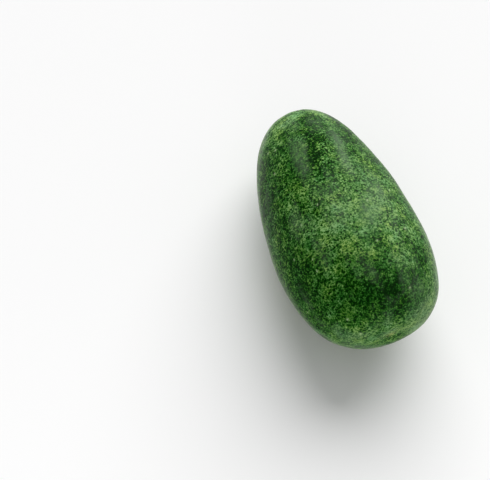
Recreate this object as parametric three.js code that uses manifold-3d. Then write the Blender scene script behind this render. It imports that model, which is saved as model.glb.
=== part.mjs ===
// Ash gourd (winter melon): one whole fruit lying on its side, with the cut stub of its stalk.
//
// Frame: millimetres, +Z up. The origin lies on the surface that the fruit rests on, under the
// middle of the object's box. The long axis runs along Y, with the stalk end towards +Y and the
// broader blossom end towards -Y.
//
// The skin is a sphere pulled out to the fruit's shape. Each point of the unit sphere has an
// angle t from the stalk pole and an angle u round the long axis, and the two give its place.

import * as THREE from 'three';
import { mergeVertices } from 'three/addons/utils/BufferGeometryUtils.js';
import Module from 'manifold-3d';

// Fruit
const HALF_LENGTH = 145.7; // middle to either pole, before the dimples
const RADIUS = 76; // at the middle of the length
const BLUNTNESS = 0.75; // power of the sine in the outline: 1 is an ellipse, less has fuller ends
const TAPER = 0.186; // share of the radius lost at the stalk end and gained at the blossom end
const SHOULDERS = 0.068; // share of the radius added at both ends
const BOW = -2.7; // sideways bow of the middle, along X
const FLATNESS = 0.98; // height over width
const DROOP = 0.08; // fall of the long axis per millimetre towards the stalk
const LOBES = 3; // faint ridges, one for each seed chamber
const LOBE_DEPTH = 0.012; // share of the radius
const LOBE_TURN = THREE.MathUtils.degToRad(75);
const FLAT_DEPTH = 1.5; // height lost where the fruit's weight has flattened it

// Dimples at the two poles
const STALK_DIMPLE = { depth: 5, radius: 17 };
const BLOSSOM_DIMPLE = { depth: 3, radius: 14 };

// Stalk stub
const STALK_LENGTH = 15; // from the bottom of the dimple to the cut
const STALK_ROOT = 8; // sunk in the fruit before the stub is cut to the dimple
const STALK_RADIUS = 5;
const STALK_FLARE = 0.7; // share of the radius added where it meets the fruit
const STALK_FLARE_HEIGHT = 5;
const STALK_RIDGES = 5;
const STALK_RIDGE_DEPTH = 0.1; // share of the radius
const STALK_LEAN = { x: 3, z: -4.5 }; // how far the cut end hangs aside and down
const GAP = 0.3; // between the stub and the fruit

// Fineness
const AROUND = 64;
const ALONG = 44;
const STALK_AROUND = 30;
const STALK_ALONG = 12;

const wasm = await Module();
wasm.setup();

// The same surface with only positions, and one vertex where several met.
function weld(geometry) {
  const bare = geometry.clone();
  bare.deleteAttribute('normal');
  bare.deleteAttribute('uv');
  return mergeVertices(bare);
}

function toSolid(geometry) {
  const closed = weld(geometry);
  return new wasm.Manifold(new wasm.Mesh({
    numProp: 3,
    vertProperties: new Float32Array(closed.attributes.position.array),
    triVerts: new Uint32Array(closed.index.array),
  }));
}

// What is left of one closed surface when another is taken away.
function cut(geometry, tool) {
  const mesh = toSolid(geometry).subtract(toSolid(tool)).getMesh();
  const result = new THREE.BufferGeometry();
  result.setAttribute('position', new THREE.BufferAttribute(mesh.vertProperties, 3));
  result.setIndex(new THREE.BufferAttribute(mesh.triVerts, 1));
  result.computeVertexNormals();
  return result;
}

function dimple(radius, shape) {
  return shape.depth * Math.exp(-((radius / shape.radius) ** 2));
}

// Moves a point of the unit sphere to the skin.
function toSkin(point) {
  const t = Math.acos(THREE.MathUtils.clamp(point.y, -1, 1));
  const u = Math.atan2(point.z, point.x);
  const along = Math.cos(t);
  const outline = Math.sin(t) ** BLUNTNESS * (1 - TAPER * along + SHOULDERS * along ** 2);
  const radius = RADIUS * outline * (1 + LOBE_DEPTH * Math.sin(t) * Math.cos(LOBES * (u - LOBE_TURN)));
  const stalkEnd = dimple(radius, STALK_DIMPLE) * Math.max(along, 0);
  const blossomEnd = dimple(radius, BLOSSOM_DIMPLE) * Math.max(-along, 0);
  const y = HALF_LENGTH * along - stalkEnd + blossomEnd;
  return point.set(
    radius * Math.cos(u) + BOW * Math.sin(t) ** 2,
    y,
    radius * Math.sin(u) * FLATNESS - DROOP * y,
  );
}

// Moves a point of an upright unit cylinder, from 0 at the root to 1 at the cut, to the stub.
function toStub(point) {
  const height = point.y * (STALK_ROOT + STALK_LENGTH) - STALK_ROOT;
  const angle = Math.atan2(point.z, point.x);
  const flare = STALK_FLARE * Math.exp(-Math.max(height, 0) / STALK_FLARE_HEIGHT);
  const ridges = STALK_RIDGE_DEPTH * Math.cos(STALK_RIDGES * angle);
  const radius = STALK_RADIUS * Math.hypot(point.x, point.z) * (1 + flare + ridges);
  const lean = (Math.max(height, 0) / STALK_LENGTH) ** 2;
  const y = HALF_LENGTH - STALK_DIMPLE.depth + height;
  return point.set(
    radius * Math.cos(angle) + STALK_LEAN.x * lean,
    y,
    radius * Math.sin(angle) + STALK_LEAN.z * lean - DROOP * y,
  );
}

function reshape(geometry, move) {
  const position = geometry.attributes.position;
  const point = new THREE.Vector3();
  for (let i = 0; i < position.count; i += 1) {
    move(point.fromBufferAttribute(position, i));
    position.setXYZ(i, point.x, point.y, point.z);
  }
  geometry.computeBoundingBox();
  return geometry;
}

// The whole fruit, lowered until the flattened spot's plane is at zero.
function makeSkin() {
  const skin = reshape(weld(new THREE.SphereGeometry(1, AROUND, ALONG)), toSkin);
  const drop = skin.boundingBox.min.z + FLAT_DEPTH;
  skin.translate(0, 0, -drop);
  return { skin, drop };
}

function makeStub(skin, drop) {
  const rod = new THREE.CylinderGeometry(1, 1, 1, STALK_AROUND, STALK_ALONG);
  rod.translate(0, 0.5, 0);
  const stub = reshape(weld(rod), toStub);
  stub.translate(0, 0, -drop);
  return cut(stub, skin.clone().translate(0, GAP, 0));
}

// A block whose top is at zero and which reaches past the fruit on every side.
function makeFloor() {
  const side = 4 * HALF_LENGTH;
  return new THREE.BoxGeometry(side, side, side).translate(0, 0, -side / 2);
}

const { skin, drop } = makeSkin();

const gourd = new THREE.Mesh(
  cut(skin, makeFloor()),
  new THREE.MeshStandardMaterial({ color: '#3f6a33', roughness: 0.5, metalness: 0 }),
);
gourd.name = 'gourd';

const stalk = new THREE.Mesh(
  makeStub(skin, drop),
  new THREE.MeshStandardMaterial({ color: '#8b8257', roughness: 0.85, metalness: 0 }),
);
stalk.name = 'stalk';

const part = new THREE.Group();
part.add(gourd, stalk);

const middle = new THREE.Box3().setFromObject(part).getCenter(new THREE.Vector3());
gourd.position.set(-middle.x, -middle.y, 0);
stalk.position.copy(gourd.position);

export default part;
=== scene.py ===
"""An ash gourd lying on a plain floor: its waxed rind and its cut stalk, worked out with numpy."""

import math

import bpy
import numpy as np
from bpy.props import FloatProperty, FloatVectorProperty, IntProperty, PointerProperty
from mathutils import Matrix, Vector


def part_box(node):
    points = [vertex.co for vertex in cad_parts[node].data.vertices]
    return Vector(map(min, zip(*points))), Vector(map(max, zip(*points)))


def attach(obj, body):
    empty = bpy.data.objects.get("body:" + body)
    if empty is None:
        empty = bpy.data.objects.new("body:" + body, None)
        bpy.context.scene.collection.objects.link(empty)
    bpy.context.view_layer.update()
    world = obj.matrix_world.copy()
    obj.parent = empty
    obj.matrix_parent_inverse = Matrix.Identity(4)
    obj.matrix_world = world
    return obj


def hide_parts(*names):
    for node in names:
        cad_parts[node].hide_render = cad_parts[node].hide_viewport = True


bl_info = {
    "name": "Ash Gourd",
    "version": (1, 0, 0),
    "blender": (4, 5, 0),
    "location": "3D View > Sidebar > Gourd",
    "description": "Builds an ash gourd with a waxed rind and a cut stalk, on a plain floor",
    "category": "Add Mesh",
}

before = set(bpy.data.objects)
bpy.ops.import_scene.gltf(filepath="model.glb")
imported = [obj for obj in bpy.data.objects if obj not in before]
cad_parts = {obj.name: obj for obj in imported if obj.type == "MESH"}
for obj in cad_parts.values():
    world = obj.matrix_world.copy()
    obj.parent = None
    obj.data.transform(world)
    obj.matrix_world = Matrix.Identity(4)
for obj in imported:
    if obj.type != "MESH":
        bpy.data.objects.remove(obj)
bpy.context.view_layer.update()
GOURD_LOW, GOURD_HIGH = (np.array(corner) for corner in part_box("gourd"))
STALK_LOW, STALK_HIGH = (np.array(corner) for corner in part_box("stalk"))

MM = 0.001
BODY = "root"


# ------------------------------------------------------------------ colour and number helpers

def linear(hex_colour):
    """An sRGB hex colour as linear red, green and blue."""
    parts = [int(hex_colour[i:i + 2], 16) / 255 for i in (1, 3, 5)]
    return tuple(p / 12.92 if p <= 0.04045 else ((p + 0.055) / 1.055) ** 2.4 for p in parts)


def colour_property(name, description, hex_colour):
    """A colour that a user may change."""
    return FloatVectorProperty(name=name, description=description, default=linear(hex_colour),
                               min=0, max=1, subtype="COLOR")


def length_property(name, description, default):
    """A length in metres that a user may change."""
    return FloatProperty(name=name, description=description, default=default, unit="LENGTH",
                         precision=4)


def share_property(name, description, default):
    """A number from 0 to 1 that a user may change."""
    return FloatProperty(name=name, description=description, default=default, min=0, max=1,
                         subtype="FACTOR")


def angle_property(name, description, degrees):
    """An angle that a user may change."""
    return FloatProperty(name=name, description=description, default=math.radians(degrees),
                         subtype="ANGLE")


def smooth(values, low, high):
    """0 below low, 1 above high, and an S-curve between them."""
    share = np.clip((values - low) / (high - low), 0, 1)
    return share * share * (3 - 2 * share)


def bell(values, width):
    """1 where the value is 0, falling to about a third at the width."""
    return np.exp(-(values / width) ** 2)


def waves(points, size, seed, count=24):
    """Smooth noise of about -1 to 1: the sum of plane waves of one length, size, that run in
    random directions with random starts."""
    random = np.random.default_rng(seed)
    direction = random.normal(size=(3, count))
    direction *= 2 * math.pi / size / np.linalg.norm(direction, axis=0)
    start = random.uniform(0, 2 * math.pi, count)
    return np.cos(points @ direction + start).sum(-1) / math.sqrt(count)


# ------------------------------------------------------------------ meshes

def closed_grid(name, points):
    """A closed mesh from points[row, column]. Columns go round and join up. The first and the last
    row each stand for one point, which closes the ends. Faces point outwards when rows run towards
    -Y and columns turn from +X towards +Z."""
    rows, columns = points.shape[:2]
    corners = np.concatenate([points[1:-1].reshape(-1, 3), points[0, :1], points[-1, :1]])
    first, last = len(corners) - 2, len(corners) - 1
    column = np.arange(columns)
    after = (column + 1) % columns
    start = np.arange(rows - 3)[:, None] * columns
    quads = np.stack([start + column, start + after,
                      start + columns + after, start + columns + column], -1)
    end = (rows - 3) * columns
    head = np.stack([np.full(columns, first), after, column], -1)
    tail = np.stack([np.full(columns, last), end + column, end + after], -1)
    order = np.concatenate([quads.ravel(), head.ravel(), tail.ravel()])
    sides = np.concatenate([np.full(quads[..., 0].size, 4), np.full(2 * columns, 3)])
    mesh = bpy.data.meshes.new(name)
    mesh.vertices.add(len(corners))
    mesh.vertices.foreach_set("co", corners.astype(np.float32).ravel())
    mesh.loops.add(len(order))
    mesh.loops.foreach_set("vertex_index", order.astype(np.int32))
    mesh.polygons.add(len(sides))
    mesh.polygons.foreach_set("loop_start", (np.cumsum(sides) - sides).astype(np.int32))
    mesh.update(calc_edges=True)
    mesh.shade_smooth()
    piece = bpy.data.objects.new(name, mesh)
    bpy.context.scene.collection.objects.link(piece)
    return piece


def store(piece, name, values):
    """Keeps one number for each point of a closed_grid piece, which its material reads."""
    flat = np.concatenate([values[1:-1].ravel(), values[0, :1], values[-1, :1]])
    attribute = piece.data.attributes.new(name, "FLOAT", "POINT")
    attribute.data.foreach_set("value", flat.astype(np.float32))


# ------------------------------------------------------------------ materials

def node(tree, kind, settings=None, **links):
    """Adds a node. settings are its own properties. Each link is an input's name, with _ for a
    space, or a number after "in", and its value is another node's output or a plain value."""
    added = tree.nodes.new("ShaderNode" + kind)
    for key, value in (settings or {}).items():
        setattr(added, key, value)
    for key, value in links.items():
        socket = added.inputs[int(key[2:])] if key[:2] == "in" and key[2:].isdigit() \
            else added.inputs[key.replace("_", " ")]
        if isinstance(value, bpy.types.NodeSocket):
            tree.links.new(value, socket)
        else:
            socket.default_value = value
    return added


def new_material(name):
    """An empty material, its node tree and its shader."""
    material = bpy.data.materials.new(name)
    material.use_nodes = True
    tree = material.node_tree
    return material, tree, tree.nodes["Principled BSDF"]


def opaque(colour):
    """A colour property as red, green, blue and an alpha of 1."""
    return tuple(colour) + (1.0,)


# The skin's pattern: spots, the bend that keeps them from being round, and how far it moves them.
SPOT_SPACING = 3.2 * MM
BEND_SIZE = 5 * MM
BEND_SHIFT = 2.4 * MM
# Threads and dots, small clumps and large clumps: size, detail and weight.
CLUMPS = ((1.5 * MM, 2.0, 1.5), (5 * MM, 2.0, 0.6), (14 * MM, 3.0, 0.8))
CLUMP_ROUGHNESS = 0.6
HUE_SIZE = 16 * MM
# How pale each green is: 0 is the middle of a spot and 1 the palest thread.
PALE_STOPS = (0.0, 0.21, 0.41, 0.59, 0.81, 1.0)

# The wax: clouds drawn out along the fruit, and dust. Then its roughness, from bare to waxed.
CLOUD_SIZE = 26 * MM
CLOUD_DRAWN = (1, 0.35, 1)
CLOUD_ROUGHNESS = 0.62
CLOUD_MOST = 0.55
DUST_SIZE = 3 * MM
BARE_ROUGHNESS = 0.40
WAXED_ROUGHNESS = 0.62
# Thin plant wax bends light less than bare skin does, and its dust leaves almost no gloss.
WAX_IOR = 1.35
WAX_GLOSS = 0.02
RIM_ROUGHNESS = 0.25
NET_BUMP = 0.25 * MM

# The stalk: fibres drawn out along it, and green and straw patches.
FIBRE_SIZE = 1.2 * MM
FIBRE_DRAWN = (1, 0.15, 1)
FIBRE_BUMP = 0.4 * MM
STALK_PATCH_SIZE = 5 * MM
STALK_ROUGHNESS = 0.85
PAPER_ROUGHNESS = 0.9


def rind_net(tree, place, finish):
    """The green of the skin: dark spots 2 mm wide in a paler net, about 3 mm apart, with threads
    and dots of 1.5 mm, darker and lighter clumps of 5 and 14 mm, and yellower and bluer parts of
    16 mm. Returns how pale each place is, and its colour."""
    bend = node(tree, "TexNoise", Vector=place, Scale=1 / BEND_SIZE, Detail=2.0)
    bent = node(tree, "VectorMath", {"operation": "MULTIPLY_ADD"}, in0=bend.outputs["Color"],
                in1=(BEND_SHIFT,) * 3, in2=place)
    cells = node(tree, "TexVoronoi", {"feature": "F1"}, Vector=bent.outputs[0],
                 Scale=1 / SPOT_SPACING)
    net = node(tree, "MapRange", {"interpolation_type": "SMOOTHSTEP"},
               Value=cells.outputs["Distance"], From_Min=0.1, From_Max=0.62,
               To_Min=-0.24, To_Max=0.16)
    pale = net.outputs["Result"]
    for size, detail, weight in CLUMPS:
        noise = node(tree, "TexNoise", Vector=place, Scale=1 / size, Detail=detail,
                     Roughness=CLUMP_ROUGHNESS)
        noise = node(tree, "Math", {"operation": "SUBTRACT"}, in0=noise.outputs["Fac"], in1=0.5)
        pale = node(tree, "Math", {"operation": "MULTIPLY_ADD"}, in0=noise.outputs[0], in1=weight,
                    in2=pale).outputs[0]
    # Larger light and dark patches come in here, partly painted shade, shadow and light.
    strength = node(tree, "Attribute", {"attribute_name": "net"}).outputs["Fac"]
    tone_with_painted_light_and_shade = node(tree, "Attribute", {"attribute_name": "tone_with_painted_light_and_shade"}).outputs["Fac"]
    pale = node(tree, "Math", {"operation": "MULTIPLY_ADD"}, in0=pale, in1=strength,
                in2=tone_with_painted_light_and_shade).outputs[0]

    greens = node(tree, "ValToRGB", in0=pale)
    colours = (finish.spot, finish.deep_green, finish.green, finish.net, finish.net_pale,
               finish.net_light)
    stops = greens.color_ramp.elements
    stops.remove(stops[0])
    stops[0].position = PALE_STOPS[0]
    stops[0].color = opaque(colours[0])
    for position, colour in zip(PALE_STOPS[1:], colours[1:]):
        stops.new(position).color = opaque(colour)

    hue = node(tree, "TexNoise", Vector=place, Scale=1 / HUE_SIZE, Detail=3.0,
               Roughness=CLUMP_ROUGHNESS)
    hue = node(tree, "MapRange", Value=hue.outputs["Fac"], From_Min=0.3, From_Max=0.7)
    tint = node(tree, "Mix", {"data_type": "RGBA"}, in0=hue.outputs["Result"],
                in6=opaque(finish.cool), in7=opaque(finish.ripe))
    tinted = node(tree, "Mix", {"data_type": "RGBA", "blend_type": "MULTIPLY"}, in0=1.0,
                  in6=greens.outputs["Color"], in7=tint.outputs[2])
    return pale, tinted.outputs[2]


def rind_wax(tree, place):
    """How thick the wax lies: clouds of 26 mm drawn out along the fruit, more where the bloom
    attribute says so, with a 3 mm dustiness."""
    drawn = node(tree, "Mapping", Vector=place, Scale=CLOUD_DRAWN)
    cloud = node(tree, "TexNoise", Vector=drawn.outputs[0], Scale=1 / CLOUD_SIZE, Detail=4.0,
                 Roughness=CLOUD_ROUGHNESS)
    cloud = node(tree, "MapRange", Value=cloud.outputs["Fac"], From_Min=0.5, From_Max=0.7,
                 To_Max=CLOUD_MOST)
    # The bloom attribute is partly painted reflection of the floor at the broad end.
    laid = node(tree, "Attribute", {"attribute_name": "bloom"}).outputs["Fac"]
    wax = node(tree, "Math", {"operation": "ADD"}, in0=cloud.outputs["Result"], in1=laid)
    dust = node(tree, "TexNoise", Vector=place, Scale=1 / DUST_SIZE, Detail=2.0)
    dust = node(tree, "MapRange", Value=dust.outputs["Fac"], From_Min=0.2, From_Max=0.8,
                To_Min=0.6, To_Max=1.3)
    wax = node(tree, "Math", {"operation": "MULTIPLY", "use_clamp": True}, in0=wax.outputs[0],
               in1=dust.outputs["Result"])
    return wax.outputs[0]


def rind_material(finish):
    """Mature ash gourd skin: a hard, smooth, living rind, dark green where its cells are packed and
    paler in the net between, dusted with the wax that the fruit sweats. The eye sees dark spots in
    a fine pale net, greyish clouds of wax over it, almost no gloss, and a pale rim where the wax is
    seen edge on."""
    material, tree, shader = new_material("waxed gourd rind")
    place = node(tree, "TexCoord").outputs["Object"]
    pale, colour = rind_net(tree, place, finish)
    wax = rind_wax(tree, place)
    veil = node(tree, "Math", {"operation": "MULTIPLY"}, in0=wax, in1=finish.veil).outputs[0]

    # The wax, the patch that lay on the soil, healed flecks and the corky scars at both ends.
    # The wax share is partly painted reflection of the floor at the broad end's rim.
    covers = [(veil, finish.wax)]
    for name, tint in (("ground", finish.ground), ("fleck", finish.fleck), ("scar", finish.cork)):
        covers.append((node(tree, "Attribute", {"attribute_name": name}).outputs["Fac"], tint))
    for share, tint in covers:
        colour = node(tree, "Mix", {"data_type": "RGBA"}, in0=share, in6=colour,
                      in7=opaque(tint)).outputs[2]
    tree.links.new(colour, shader.inputs["Base Color"])

    rough = node(tree, "MapRange", Value=wax, To_Min=BARE_ROUGHNESS, To_Max=WAXED_ROUGHNESS)
    tree.links.new(rough.outputs["Result"], shader.inputs["Roughness"])
    shader.inputs["IOR"].default_value = WAX_IOR
    shader.inputs["Specular IOR Level"].default_value = WAX_GLOSS
    shader.inputs["Sheen Weight"].default_value = finish.wax_rim
    shader.inputs["Sheen Roughness"].default_value = RIM_ROUGHNESS
    shader.inputs["Sheen Tint"].default_value = opaque(finish.wax_dust)
    bump = node(tree, "Bump", Height=pale, Strength=0.35, Distance=NET_BUMP)
    tree.links.new(bump.outputs[0], shader.inputs["Normal"])
    return material


def stalk_material(finish):
    """Dried gourd stalk: woody and corky, drying from green to straw, ribbed along its length. The
    eye sees fibres down the sides and a pale, pithy cut."""
    material, tree, shader = new_material("dried gourd stalk")
    place = node(tree, "TexCoord").outputs["Object"]
    drawn = node(tree, "Mapping", Vector=place, Scale=FIBRE_DRAWN)
    fibre = node(tree, "TexNoise", Vector=drawn.outputs[0], Scale=1 / FIBRE_SIZE, Detail=3.0)
    patch = node(tree, "TexNoise", Vector=place, Scale=1 / STALK_PATCH_SIZE, Detail=2.0)
    colour = node(tree, "Mix", {"data_type": "RGBA"}, in0=patch.outputs["Fac"],
                  in6=opaque(finish.stalk_green), in7=opaque(finish.stalk_dry))
    shade = node(tree, "MapRange", Value=fibre.outputs["Fac"], From_Min=0.3, From_Max=0.7,
                 To_Min=0.45, To_Max=1.15)
    dark = node(tree, "Mix", {"data_type": "RGBA", "blend_type": "MULTIPLY"}, in0=1.0,
                in6=colour.outputs[2], in7=shade.outputs["Result"])
    cut = node(tree, "Attribute", {"attribute_name": "cut"}).outputs["Fac"]
    middle = node(tree, "Attribute", {"attribute_name": "pith"}).outputs["Fac"]
    pith = node(tree, "Mix", {"data_type": "RGBA"}, in0=middle, in6=opaque(finish.stalk_dry),
                in7=opaque(finish.pith))
    colour = node(tree, "Mix", {"data_type": "RGBA"}, in0=cut, in6=dark.outputs[2],
                  in7=pith.outputs[2])
    tree.links.new(colour.outputs[2], shader.inputs["Base Color"])
    shader.inputs["Roughness"].default_value = STALK_ROUGHNESS
    bump = node(tree, "Bump", Height=fibre.outputs["Fac"], Strength=0.8, Distance=FIBRE_BUMP)
    tree.links.new(bump.outputs[0], shader.inputs["Normal"])
    return material


def floor_material(stage):
    """Studio paper: a matt, smooth, nearly white sheet with no gloss."""
    material, _, shader = new_material("studio paper")
    shader.inputs["Base Color"].default_value = opaque(stage.floor)
    shader.inputs["Roughness"].default_value = PAPER_ROUGHNESS
    return material


# ------------------------------------------------------------------ sizes and colours

class GourdShape(bpy.types.PropertyGroup):
    """The fruit's outline and relief. Its length, width and height are the frame's."""
    bluntness: FloatProperty(
        name="Bluntness", description="Power of the sine in the outline; less has fuller ends",
        default=0.75, min=0.3, max=1.5)
    taper: share_property("Taper", "Share of the radius lost at the stalk end", 0.186)
    shoulders: share_property("Shoulders", "Share of the radius added at both ends", 0.068)
    bow: length_property("Bow", "Sideways bow of the middle", -2.7 * MM)
    flatness: share_property("Flatness", "Height over width, before the frame's box", 0.98)
    droop: FloatProperty(
        name="Droop", description="Fall of the long axis, in metres per metre towards the stalk",
        default=0.08)
    lobe_height: share_property(
        "Lobe height", "Ridges over the seed chambers, as a share of the radius", 0.012)
    lobe_turn: angle_property("Lobe turn", "Place of the first ridge round the fruit", 75)
    flat_depth: length_property("Flat depth", "Height lost where the fruit rests", 1.5 * MM)
    rib_height: length_property("Rib height", "Faint ribs along the fruit", 0.25 * MM)
    swell_height: length_property("Swell height", "Broad uneven swells", 0.3 * MM)
    pucker_height: length_property("Pucker height", "Folds round the stalk", 0.7 * MM)
    ring_height: length_property("Ring height", "Ring round the blossom scar", 0.4 * MM)
    fleck_height: length_property("Fleck height", "How far healed specks stand up", 0.25 * MM)
    flecks: IntProperty(name="Flecks", description="Healed specks on the rind", default=46, min=3)
    around: IntProperty(name="Around", description="Points round the fruit", default=440, min=48)
    along: IntProperty(name="Along", description="Points along the fruit", default=222, min=32)


class StalkShape(bpy.types.PropertyGroup):
    """The cut stub of the stalk."""
    length: length_property("Length", "From the bottom of the dimple to the cut", 15 * MM)
    root: length_property("Root", "How deep the stub is set in the fruit", 6 * MM)
    radius: length_property("Radius", "Middle of the stub", 5 * MM)
    flare: share_property("Flare", "Share of the radius added at the foot", 0.85)
    flare_height: length_property("Flare height", "How soon the flare ends", 4 * MM)
    ridge_depth: share_property("Ridge depth", "The five ridges, as a share of the radius", 0.13)
    lean: length_property("Lean", "How far the cut stands to the side of the foot", 3 * MM)
    sag: length_property("Sag", "How far the cut hangs below the foot", 4.5 * MM)
    cut_hollow: length_property("Cut hollow", "How far the pith has dried inwards", 0.8 * MM)
    around: IntProperty(name="Around", description="Points round the stub", default=120, min=24)


class GourdFinish(bpy.types.PropertyGroup):
    """Colours of the fruit and of the stalk."""
    spot: colour_property("Spots", "Middle of the darkest spots", "#032601")
    deep_green: colour_property("Deep green", "Rest of the spots", "#12450A")
    green: colour_property("Green", "Between the spots and the net", "#336B1F")
    net: colour_property("Net", "Net between the spots", "#55823C")
    net_pale: colour_property("Pale net", "Where the net is wide", "#7DA35C")
    net_light: colour_property("Palest net", "Palest threads of the net", "#99BF78")
    ripe: colour_property("Ripe tint", "Laid over the yellower parts", "#FFFAD2")
    cool: colour_property("Cool tint", "Laid over the bluer parts", "#D6F0FF")
    # The wax colour also lays painted reflection of the floor on the broad end's rim.
    wax: colour_property("Wax", "Bloom lying on the green", "#728A6C")
    veil: share_property("Veil", "How much of the green the thickest wax hides", 0.55)
    wax_dust: colour_property("Wax dust", "Bloom seen edge on", "#DCE0D6")
    wax_rim: share_property("Wax rim", "How plainly the bloom shows edge on", 0.65)
    ground: colour_property("Ground patch", "Where the fruit lay on soil", "#C2C48C")
    fleck: colour_property("Flecks", "Healed specks", "#BCD8A0")
    cork: colour_property("Scars", "Corky ends", "#9A8A62")
    stalk_green: colour_property("Stalk green", "Fresh parts of the stalk", "#5F6E3A")
    stalk_dry: colour_property("Stalk straw", "Dried parts of the stalk", "#9A8C5E")
    pith: colour_property("Pith", "Middle of the cut", "#D3CBA0")


class GourdStage(bpy.types.PropertyGroup):
    """The camera, the lights and the floor."""
    azimuth: angle_property("Azimuth", "Turn of the camera round the fruit", -18)
    elevation: angle_property("Elevation", "Height of the camera over the floor", 60)
    distance: length_property("Distance", "From the camera to the fruit's middle", 1.0)
    lens: FloatProperty(name="Lens", description="Focal length in millimetres", default=70.0)
    pan_right: length_property(
        "Pan right", "How far the fruit stands right of the view's middle", 0.0954)
    pan_up: length_property(
        "Pan up", "How far the fruit stands above the view's middle", 0.0206)
    aim_height: length_property("Aim height", "Height of the point that is lit and seen", 0.075)
    key_power: FloatProperty(
        name="Key power", description="Light from behind the fruit, in watts a square metre",
        default=3.05, min=0)
    key_width: angle_property("Key width", "How wide the key light looks; wider is softer", 66)
    front_power: FloatProperty(
        name="Front power", description="Low light from the front, in watts", default=2.6, min=0)
    room_light: FloatProperty(
        name="Room light", description="Strength of the light from all round", default=0.36, min=0)
    room_seen: FloatProperty(
        name="Room seen", description="How bright the room's walls look", default=0.92, min=0)
    floor: colour_property("Floor", "Floor colour", "#FCFCFC")


# ------------------------------------------------------------------ the rind

# Before the dimples are pressed in and the outline is shaped, as shares of the frame's size.
FULL_LENGTH = 1.018
FULL_RADIUS = 0.975

# Ridges over the seed chambers. Then the faint ribs, the length over which they wander, and the
# degrees from the stalk end and from the blossom end over which they rise.
LOBES = 3
RIBS = 10
RIB_WANDER = 90 * MM
RIBS_FROM_STALK = (12, 50)
RIBS_FROM_BLOSSOM = (12, 60)

# Depth and width of the hollow at each end, and the ring round the blossom scar.
STALK_DIMPLE = (5 * MM, 17 * MM)
BLOSSOM_DIMPLE = (3 * MM, 14 * MM)
SCAR_RADIUS = 3.4 * MM
SCAR_RING_WIDTH = 1.2 * MM
FOLD_WIDTH = 9 * MM

# Uneven swells: length, share of the swell height, and seed.
SWELLS = ((70 * MM, 1.0, 12), (24 * MM, 0.35, 13), (9 * MM, 0.12, 14))

# Sizes of the healed specks, and how near the two ends they come, as a cosine.
SMALL_FLECK = 0.5 * MM
USUAL_FLECK = 1.1 * MM
LARGE_FLECK = 1.3 * MM
FLECK_REACH = 0.97

# The largest flecks: place along the fruit from the stalk and place round it, in degrees.
LARGE_FLECKS = ((56, 134), (117, 60), (163, 153))

# How pale the skin is all over, and what the top, the stripes and the two ends add to it.
TONE = 0.24
TONE_ABOVE = 0.06
TONE_STRIPE = -0.36
TONE_STALK_END = 0.12
# The blossom end's share is partly paler skin and partly painted light bounced from the floor.
BLOSSOM_END_PALE_AND_BOUNCE_LIGHT = 0.15
# How plainly the net shows, what the top adds, and what its calmer broad half takes away.
NET = 1.2
NET_ABOVE = 0.45
NET_CALM = 0.5
# How much wax a stripe lacks.
WAX_STRIPE = 0.4
# Degrees: how far the top reaches down each side, the middle and the width of the pale stalk end,
# and where the pale blossom end and the calmer half begin and are full.
TOP_WIDTH = 75
STALK_END = (32, 14)
BLOSSOM_END = (164, 176)
CALM_HALF = (90, 150)

# Patches: place round the fruit and place along it, width and length, in degrees, and strength.
# Lighter and darker greens, some of them partly painted light and shade:
TONES_WITH_PAINTED_LIGHT_AND_SHADE = (
    # The pale middle, and the dark band near the broad end: darker green with painted shade.
    (95, 106, 28, 17, 0.26), (95, 145, 34, 15, -0.33), (75, 160, 24, 8, -0.09),
    # A pale streak beside the band, and the pale edge of the broad end, partly painted reflection.
    (72, 124, 6, 14, 0.3), (34, 157, 18, 14, 0.28), (355, 166, 32, 9, 0.4),
    (170, 165, 60, 11, 0.12),
    # Darker greens round the top stripe and over the middle.
    (64, 64, 14, 11, -0.24), (122, 72, 16, 14, -0.06), (118, 78, 10, 16, -0.14),
    (105, 55, 30, 14, -0.06), (74, 82, 7, 16, -0.08), (83, 114, 9, 8, -0.1),
    (99, 98, 7, 6, -0.12), (132, 110, 8, 7, -0.12),
    # The darker flank, painted shadow as from a fruit beside it, and the small pale parts along it.
    (152, 78, 22, 22, -0.16), (152, 128, 16, 18, -0.18), (150, 90, 24, 55, -0.03),
    (150, 152, 14, 9, 0.1), (131, 87, 8, 9, 0.12), (135, 133, 10, 9, 0.13),
    (150, 40, 20, 12, 0.06))
# A plainer net, or a weaker one under thick wax:
NETS = (
    (63, 114, 14, 18, 0.35), (98, 70, 12, 30, 0.2), (113, 68, 8, 14, -0.6),
    (86, 109, 7, 8, -0.5))
# Wax that lies thicker or thinner, and at the broad end's rim partly painted reflection:
WAX_CLOUDS_AND_PAINTED_REFLECTION = (
    # The top, and the cleaner flank.
    (70, 100, 60, 35, 0.2), (150, 90, 26, 60, -0.5),
    # The streak beside the clean stripe.
    (74, 64, 3.5, 7, 0.8), (77, 73, 3.5, 7, 0.8), (80, 82, 4, 7, 0.7),
    # Small clouds.
    (104, 92, 9, 5, 0.4), (86, 109, 6, 7, 0.5), (103, 64, 5, 6, 0.4), (66, 96, 6, 7, 0.3),
    (113, 68, 7, 14, 0.6),
    # The broad end, with painted reflection of the floor along its lower rim.
    (165, 166, 50, 9, 0.3), (40, 160, 24, 12, 0.5), (355, 166, 32, 9, 0.9))

# The clean dark stripe on top: place round, width and length along, in degrees, and strength.
MAIN_STRIPE = (88, 9, 110, 0.9)
# The weaker ones, every 36 degrees down the sides and underneath, and their ranges.
STRIPE_PLACES = range(190, 420, 36)
STRIPE_SPREAD = (-12, 12)
STRIPE_WIDTHS = (3, 7)
STRIPE_LENGTHS = (60, 110)
STRIPE_STRENGTHS = (0.4, 0.9)
# Degrees that a stripe turns round the fruit for each degree along it, past 50 degrees.
STRIPE_DRIFT = 0.35
STRIPE_START = 50
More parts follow.
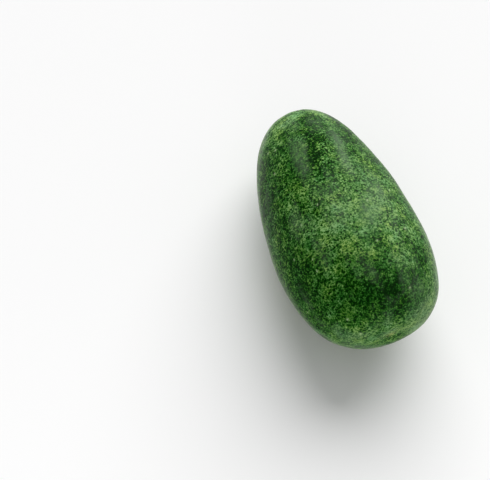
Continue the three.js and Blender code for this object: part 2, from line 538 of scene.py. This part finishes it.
# How far a stripe wavers, in degrees, and over what length.
STRIPE_WAVER = 5
STRIPE_WAVER_SIZE = 60 * MM
# Degrees along the fruit over which a stripe rises, and over which it fades before its end.
STRIPE_RISE = (18, 40)
STRIPE_FADE = 35

# The patch that lay on the soil, as a patch, its ragged edge, and how plainly it shows at most.
GROUND = ((270, 100, 48, 45, 1.0),)
GROUND_RAGGED = 0.12
GROUND_RAG_SIZE = 20 * MM
GROUND_EDGE = (0.3, 0.8)
GROUND_MOST = 0.75
FLECK_MOST = 0.7

# The corky scars: the stalk's width, the blossom's outer and inner edge, and their strengths.
STALK_SCAR_WIDTH = 8 * MM
BLOSSOM_SCAR_EDGE = (4.5 * MM, 2.5 * MM)
BLOSSOM_SCAR_MOST = 0.4
SCAR_MOST = 0.9


def turned(u, degrees):
    """The angle from a line along the fruit, from -pi to pi."""
    return (u - np.radians(degrees) + math.pi) % (2 * math.pi) - math.pi


def patches(u, along, places):
    """The sum of soft-edged patches: for each, its strength times a bell of the way round the fruit
    from its middle, times a bell of the way along the fruit."""
    total = 0
    for angle, row, width, length, strength in places:
        across = bell(turned(u, angle), math.radians(width))
        total = total + strength * across * bell(along - row, length)
    return total


def rind_outline(shape):
    """The fruit's smooth skin on a grid of t, from 0 at the stalk pole to pi at the blossom pole,
    and u, round the long axis. The radius is a power of sin t, tapered and shouldered by cos t,
    with three ridges of cos 3u. The place along the axis is cos t, less a bell-shaped dimple at
    each pole. Then the axis bows by the square of sin t and droops evenly, and the whole is
    stretched to the frame's box. Returns t, u, the radius and the points."""
    t = np.linspace(0, math.pi, shape.along)[:, None]
    u = np.linspace(0, 2 * math.pi, shape.around, endpoint=False)[None, :]
    half_length = (GOURD_HIGH[1] - GOURD_LOW[1]) / 2 * FULL_LENGTH
    full_radius = (GOURD_HIGH[0] - GOURD_LOW[0]) / 2 * FULL_RADIUS
    along = np.cos(t)
    sine = np.sin(t).clip(0)
    outline = sine ** shape.bluntness * (1 - shape.taper * along + shape.shoulders * along ** 2)
    lobes = 1 + shape.lobe_height * sine * np.cos(LOBES * (u - shape.lobe_turn))
    radius = full_radius * outline * lobes
    stalk_depth, stalk_width = STALK_DIMPLE
    blossom_depth, blossom_width = BLOSSOM_DIMPLE
    y = half_length * along \
        - stalk_depth * bell(radius, stalk_width) * along.clip(0) \
        + blossom_depth * bell(radius, blossom_width) * (-along).clip(0)
    x = radius * np.cos(u) + shape.bow * sine ** 2
    z = radius * np.sin(u) * shape.flatness - shape.droop * y
    points = np.stack([x, y, z], -1)
    low = points.min((0, 1))
    high = points.max((0, 1))
    frame_low = GOURD_LOW - np.array([0, 0, shape.flat_depth])
    points = frame_low + (points - low) / (high - low) * (GOURD_HIGH - frame_low)
    return t, u, radius, points


def outward(points):
    """Unit normals of a closed_grid surface, from the differences along its rows and columns."""
    across = np.roll(points, -1, 1) - np.roll(points, 1, 1)
    down = np.gradient(points, axis=0)
    normal = np.cross(across, down)
    size = np.linalg.norm(normal, axis=-1, keepdims=True)
    return normal / np.maximum(size, 1e-12)


def fleck_share(points, shape, seed=5):
    """Small round specks, the large ones in their places and the rest at random: 1 at each one's
    middle, falling off as a bell of the distance from it."""
    random = np.random.default_rng(seed)
    rows = np.arccos(random.uniform(-FLECK_REACH, FLECK_REACH, shape.flecks)) / math.pi
    columns = random.uniform(0, 1, shape.flecks)
    sizes = random.uniform(SMALL_FLECK, USUAL_FLECK, shape.flecks)
    large = len(LARGE_FLECKS)
    rows[:large] = [row / 180 for row, angle in LARGE_FLECKS]
    columns[:large] = [angle / 360 for row, angle in LARGE_FLECKS]
    sizes[:large] = LARGE_FLECK
    centres = points[(rows * shape.along).astype(int), (columns * shape.around).astype(int)]
    share = np.zeros(points.shape[:2])
    for centre, size in zip(centres, sizes):
        share = np.maximum(share, bell(np.linalg.norm(points - centre, axis=-1), size))
    return share


def rind_relief(shape, t, u, radius, points, flecks):
    """Height above the smooth skin: ten faint ribs of cos 10u that wander, uneven swells of 70, 24
    and 9 mm, folds round the stalk, a ring round the blossom scar, and the flecks. Each is a wave
    or a bell, times its own height."""
    along = np.degrees(t)
    wander = waves(points, RIB_WANDER, seed=11)
    ribs = np.cos(RIBS * u + 0.8 * wander) * smooth(along, *RIBS_FROM_STALK) \
        * smooth(180 - along, *RIBS_FROM_BLOSSOM)
    swells = sum(share * waves(points, size, seed) for size, share, seed in SWELLS)
    fold_place = bell(radius - STALK_DIMPLE[1], FOLD_WIDTH) * (along < 90)
    folds = np.cos(RIBS * u + 0.6 * wander) * fold_place
    ring = bell(radius - SCAR_RADIUS, SCAR_RING_WIDTH) * (along > 90)
    return shape.rib_height * ribs + shape.swell_height * swells + shape.pucker_height * folds \
        + shape.ring_height * ring + shape.fleck_height * flecks


def press_flat(points, edge=0.5 * MM):
    """The resting spot: what would sink below the floor is pressed flat, with a rounded edge. The
    height z becomes the mean of z and the root of z squared plus the edge squared."""
    z = points[..., 2]
    points[..., 2] = (z + np.sqrt(z * z + edge * edge)) / 2


def stripe_share(u, along, points, seed=3):
    """Stripes of clean dark green that run down from the stalk and drift round the fruit: the one
    on top, and weaker ones down the sides and underneath. Each is a bell of the way round."""
    random = np.random.default_rng(seed)
    waver = math.radians(STRIPE_WAVER) * waves(points, STRIPE_WAVER_SIZE, seed=21)
    stripes = [MAIN_STRIPE]
    stripes += [(place + random.uniform(*STRIPE_SPREAD), random.uniform(*STRIPE_WIDTHS),
                 random.uniform(*STRIPE_LENGTHS), random.uniform(*STRIPE_STRENGTHS))
                for place in STRIPE_PLACES]
    share = np.zeros(points.shape[:2])
    for angle, width, reach, strength in stripes:
        middle = angle + STRIPE_DRIFT * (along - STRIPE_START)
        across = bell(turned(u, middle) + waver, math.radians(width))
        length = smooth(along, *STRIPE_RISE) * smooth(-along, -reach, STRIPE_FADE - reach)
        share = np.maximum(share, strength * across * length)
    return share


def build_rind(shape, finish):
    """The whole skin: outline, relief along its normals, flat spot, and the attributes that its
    material reads, which are sums of bells and S-curves of the place round and along the fruit."""
    t, u, radius, points = rind_outline(shape)
    along = np.degrees(t)
    flecks = fleck_share(points, shape)
    relief = rind_relief(shape, t, u, radius, points, flecks)
    points = points + outward(points) * relief[..., None]
    press_flat(points)
    rind = closed_grid("rind", points)
    rind.data.materials.append(rind_material(finish))

    above = bell(turned(u, 90), math.radians(TOP_WIDTH))
    stripe = stripe_share(u, along, points)
    end_place, end_width = STALK_END
    # The paler blossom end is partly painted light bounced up from the floor.
    ends = TONE_STALK_END * bell(along - end_place, end_width) \
        + BLOSSOM_END_PALE_AND_BOUNCE_LIGHT * smooth(along, *BLOSSOM_END)
    top = TONE_ABOVE * above + TONE_STRIPE * stripe
    # Lighter and darker greens, partly painted shade, shadow and light bounced from the floor.
    store(rind, "tone_with_painted_light_and_shade", TONE + top + ends + patches(u, along, TONES_WITH_PAINTED_LIGHT_AND_SHADE))
    calm = NET_CALM * smooth(along, *CALM_HALF) * above
    store(rind, "net", NET + NET_ABOVE * above - calm + patches(u, along, NETS))
    # Partly painted reflection of the floor along the broad end's lower rim.
    store(rind, "bloom", np.clip(patches(u, along, WAX_CLOUDS_AND_PAINTED_REFLECTION) - WAX_STRIPE * stripe, 0, 1))

    ragged = GROUND_RAGGED * waves(points, GROUND_RAG_SIZE, seed=31)
    ground = smooth(patches(u, along, GROUND) + ragged, *GROUND_EDGE)
    store(rind, "ground", GROUND_MOST * ground)
    store(rind, "fleck", FLECK_MOST * flecks)
    outer, inner = BLOSSOM_SCAR_EDGE
    blossom_scar = BLOSSOM_SCAR_MOST * smooth(-radius, -outer, -inner) * (along > 90)
    stalk_scar = bell(radius, STALK_SCAR_WIDTH) * (along < 90)
    store(rind, "scar", np.clip(blossom_scar + stalk_scar, 0, SCAR_MOST))
    return rind


class GOURD_OT_rind(bpy.types.Operator):
    """Builds the fruit's rind"""
    bl_idname = "gourd.rind"
    bl_label = "Rind"

    def execute(self, context):
        rind = build_rind(context.scene.gourd_shape, context.scene.gourd_finish)
        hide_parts("gourd")
        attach(rind, BODY)
        return {"FINISHED"}


# ------------------------------------------------------------------ the stalk

# Ridges: how many round the stub, their turn, and their share of the ridge depth.
STALK_RIDGES = ((5, 0.4, 1.0), (10, 1.2, 0.23), (23, 0.0, 0.12))
# The foot's middle, from the middle of the frame's stub, which the bend moves aside and down.
FOOT_ASIDE = -0.5 * MM
FOOT_ABOVE = 1.5 * MM
STALK_FALL = 0.08
# Rings in the cut, and how far its hollow and its pith reach, as shares of the radius.
RING_HEIGHT = 0.25 * MM
RING_TURNS = 40
HOLLOW_WIDTH = 0.55
PITH_WIDTH = 0.7
# Rows over the cut, down the side and across the foot.
CUT_ROWS = 14
SIDE_ROWS = 60
FOOT_ROWS = 6


def build_stalk(shape, finish):
    """The stub on a grid of rows, from the cut's middle over its rim, down the side and across the
    foot inside the fruit, and of the angle a round it. The radius flares at the foot by an
    exponential of the height, with ridges of cos 5a, cos 10a and cos 23a. The middle line bends
    aside and down by the square of the height."""
    a = np.linspace(0, 2 * math.pi, shape.around, endpoint=False)[None, :]
    face = np.linspace(0, 1, CUT_ROWS)[:-1]
    side = np.linspace(1, 0, SIDE_ROWS)
    foot = np.linspace(1, 0, FOOT_ROWS)[1:]
    height = np.concatenate([np.ones_like(face), side, np.zeros_like(foot)])[:, None]
    height = height * (shape.length + shape.root) - shape.root
    share = np.concatenate([face, np.ones_like(side), foot])[:, None]
    on_face = (np.arange(len(share)) < len(face))[:, None]

    flare = shape.flare * np.exp(-height.clip(0) / shape.flare_height)
    ridges = sum(part * np.cos(count * a + turn) for count, turn, part in STALK_RIDGES)
    ridges = shape.ridge_depth * ridges * share ** 2
    radius = shape.radius * share * (1 + flare + ridges)
    bend = (height.clip(0) / shape.length) ** 2
    rings = RING_HEIGHT * np.cos(RING_TURNS * share)
    hollow = on_face * (rings - shape.cut_hollow * bell(share, HOLLOW_WIDTH))

    middle = (STALK_LOW + STALK_HIGH) / 2
    x = middle[0] + FOOT_ASIDE + radius * np.cos(a) + shape.lean * bend
    y = STALK_LOW[1] + height + hollow + 0 * a
    z = middle[2] + FOOT_ABOVE + radius * np.sin(a) - shape.sag * bend - STALK_FALL * height
    stalk = closed_grid("stalk_stub", np.stack([x, y, z], -1))
    store(stalk, "cut", on_face + 0 * a)
    store(stalk, "pith", bell(share, PITH_WIDTH) + 0 * a)
    stalk.data.materials.append(stalk_material(finish))
    return stalk


class GOURD_OT_stalk(bpy.types.Operator):
    """Builds the cut stub of the stalk"""
    bl_idname = "gourd.stalk"
    bl_label = "Stalk"

    def execute(self, context):
        stalk = build_stalk(context.scene.gourd_stalk, context.scene.gourd_finish)
        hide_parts("stalk")
        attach(stalk, BODY)
        return {"FINISHED"}


# ------------------------------------------------------------------ the stage

# Half the floor's side, the ways to the two lamps, their distances, and the front lamp's size.
FLOOR_HALF = 8.0
KEY_SIDE = Vector((0.40, 0.66, 0.62))
FRONT_SIDE = Vector((-0.25, -0.95, 0.12))
KEY_DISTANCE = 3.0
FRONT_DISTANCE = 1.2
FRONT_SIZE = 0.6
SENSOR_WIDTH = 36


def add_lamp(name, kind, aim, away, power):
    """A lamp that shines on the aim from the offset that away gives."""
    lamp = bpy.data.lights.new(name, kind)
    lamp.energy = power
    holder = bpy.data.objects.new(name, lamp)
    holder.location = aim + away
    holder.rotation_mode = "QUATERNION"
    holder.rotation_quaternion = away.to_track_quat("Z", "Y")
    bpy.context.scene.collection.objects.link(holder)
    return lamp


def add_floor(stage):
    """A level square of paper under the fruit."""
    half = FLOOR_HALF
    mesh = bpy.data.meshes.new("floor")
    mesh.from_pydata([(-half, -half, 0), (half, -half, 0), (half, half, 0), (-half, half, 0)],
                     [], [(0, 1, 2, 3)])
    mesh.materials.append(floor_material(stage))
    floor = bpy.data.objects.new("floor", mesh)
    bpy.context.scene.collection.objects.link(floor)


def add_room(stage):
    """A plain white room: its walls light the fruit softly, and look as pale as the floor."""
    world = bpy.data.worlds.new("studio")
    world.use_nodes = True
    tree = world.node_tree
    background = tree.nodes["Background"]
    background.inputs["Color"].default_value = (1, 1, 1, 1)
    seen = node(tree, "LightPath").outputs["Is Camera Ray"]
    level = node(tree, "MapRange", Value=seen, To_Min=stage.room_light, To_Max=stage.room_seen)
    tree.links.new(level.outputs["Result"], background.inputs["Strength"])
    bpy.context.scene.world = world


def add_camera(stage):
    """A camera that looks down on the fruit, with the fruit right of the view's middle."""
    lens = bpy.data.cameras.new("camera")
    lens.lens = stage.lens
    lens.sensor_width = SENSOR_WIDTH
    camera = bpy.data.objects.new("camera", lens)
    a, e = stage.azimuth, stage.elevation
    back = Vector((math.sin(a) * math.cos(e), -math.cos(a) * math.cos(e), math.sin(e)))
    right = Vector((math.cos(a), math.sin(a), 0))
    up = back.cross(right)
    middle = Vector((GOURD_LOW + GOURD_HIGH) / 2)
    middle.z = stage.aim_height
    camera.location = middle + back * stage.distance - right * stage.pan_right - up * stage.pan_up
    camera.rotation_mode = "QUATERNION"
    camera.rotation_quaternion = back.to_track_quat("Z", "Y")
    bpy.context.scene.collection.objects.link(camera)
    bpy.context.scene.camera = camera


class GOURD_OT_stage(bpy.types.Operator):
    """Lays the floor and sets the lights and the camera"""
    bl_idname = "gourd.stage"
    bl_label = "Stage"

    def execute(self, context):
        stage = context.scene.gourd_stage
        context.scene.view_settings.view_transform = "Standard"
        add_floor(stage)
        add_room(stage)
        aim = Vector((0, 0, stage.aim_height))
        # The key is like a wide, far softbox behind the fruit, so it lights the floor evenly.
        key = add_lamp("key", "SUN", aim, KEY_DISTANCE * KEY_SIDE, stage.key_power)
        key.angle = stage.key_width
        front = add_lamp("front", "AREA", aim, FRONT_DISTANCE * FRONT_SIDE, stage.front_power)
        front.shape = "DISK"
        front.size = FRONT_SIZE
        add_camera(stage)
        return {"FINISHED"}


# ------------------------------------------------------------------ the add-on

OPERATORS = (GOURD_OT_rind, GOURD_OT_stalk, GOURD_OT_stage)
SETTINGS = {"gourd_shape": GourdShape, "gourd_stalk": StalkShape, "gourd_finish": GourdFinish,
            "gourd_stage": GourdStage}


class GOURD_PT_panel(bpy.types.Panel):
    """Buttons for each piece and the stage, and their sizes and colours"""
    bl_idname = "GOURD_PT_panel"
    bl_label = "Ash Gourd"
    bl_space_type = "VIEW_3D"
    bl_region_type = "UI"
    bl_category = "Gourd"

    def draw(self, context):
        for operator in OPERATORS:
            self.layout.operator(operator.bl_idname)
        for name, group in SETTINGS.items():
            box = self.layout.box()
            for setting in group.__annotations__:
                box.prop(getattr(context.scene, name), setting)


CLASSES = (*SETTINGS.values(), *OPERATORS, GOURD_PT_panel)


def register():
    for added in CLASSES:
        bpy.utils.register_class(added)
    for name, group in SETTINGS.items():
        setattr(bpy.types.Scene, name, PointerProperty(type=group))


def unregister():
    for name in SETTINGS:
        delattr(bpy.types.Scene, name)
    for added in reversed(CLASSES):
        bpy.utils.unregister_class(added)


def main():
    register()
    bpy.ops.gourd.rind()
    bpy.ops.gourd.stalk()
    bpy.ops.gourd.stage()


if __name__ == "__main__":
    main()
